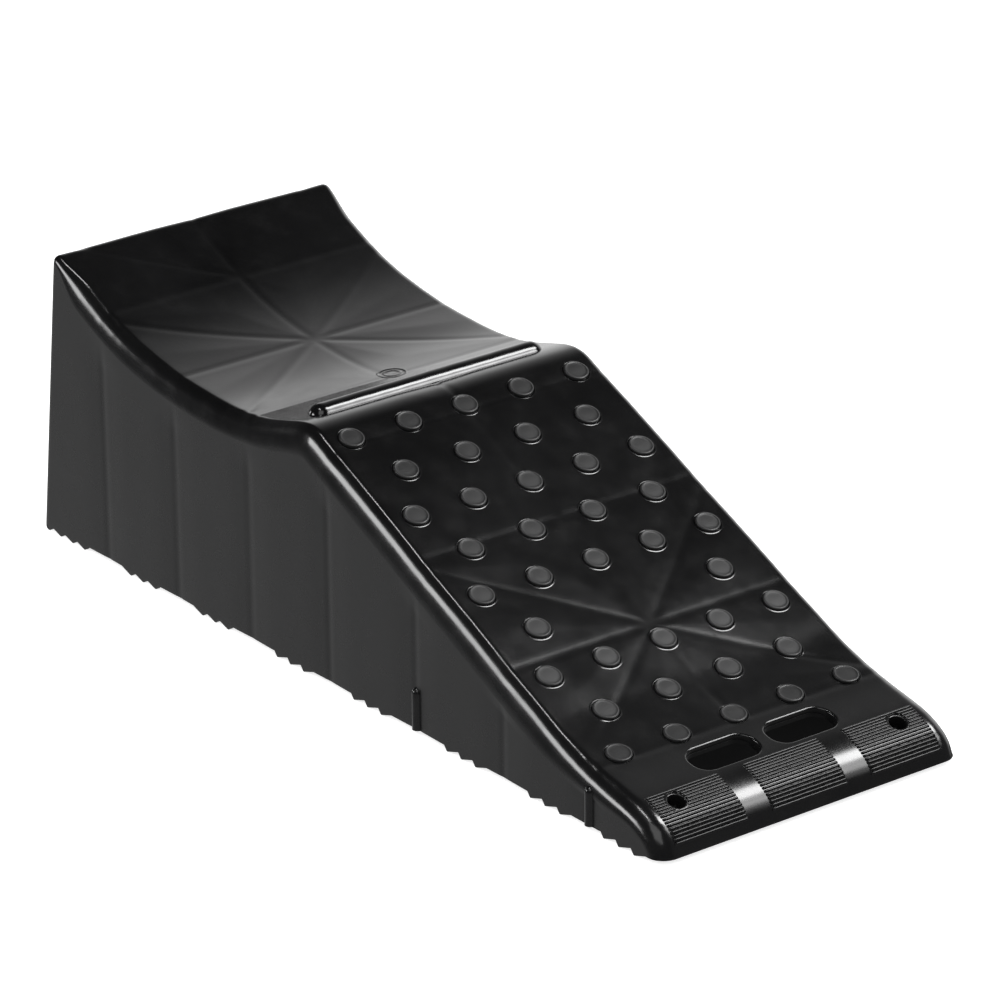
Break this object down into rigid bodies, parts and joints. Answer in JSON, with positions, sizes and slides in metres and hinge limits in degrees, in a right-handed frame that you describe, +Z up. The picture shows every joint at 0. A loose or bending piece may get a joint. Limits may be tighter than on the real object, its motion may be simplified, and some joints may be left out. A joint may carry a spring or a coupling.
{
  "type": "wheel levelling ramp",
  "caption": "Hollow ribbed black plastic wheel levelling ramp with a concave tyre cradle, a raised stop bead on the crest, a studded sloping deck, a toothed base and ribbed toe pads.",
  "frame": {"origin": "on the ground under the middle of the footprint, at the height of the tooth tips", "axes": "+X along the ramp towards the low toe, +Y across the ramp to the right-hand side of a driver climbing it, +Z up"},
  "size_m": [0.622, 0.2154, 0.1838],
  "materials": {
    "shell": "semi-gloss moulded polypropylene with sink marks over the ribs",
    "bead": "gloss moulded",
    "pad": "matte ribbed elastomer",
    "stud": "matte finely textured elastomer"
  },
  "bodies": {
    "root": {"ramp_shell": "shell", "tyre_stop_bead": "bead", "tread_pad_left": "pad", "tread_pad_centre": "pad", "tread_pad_right": "pad", "grip_studs_row_a": "stud", "grip_studs_row_b": "stud", "grip_studs_row_c": "stud", "grip_studs_row_d": "stud", "grip_studs_row_e": "stud", "grip_studs_row_f": "stud", "grip_studs_row_g": "stud", "grip_studs_row_h": "stud", "grip_studs_row_i": "stud"}
  },
  "joints": []
}
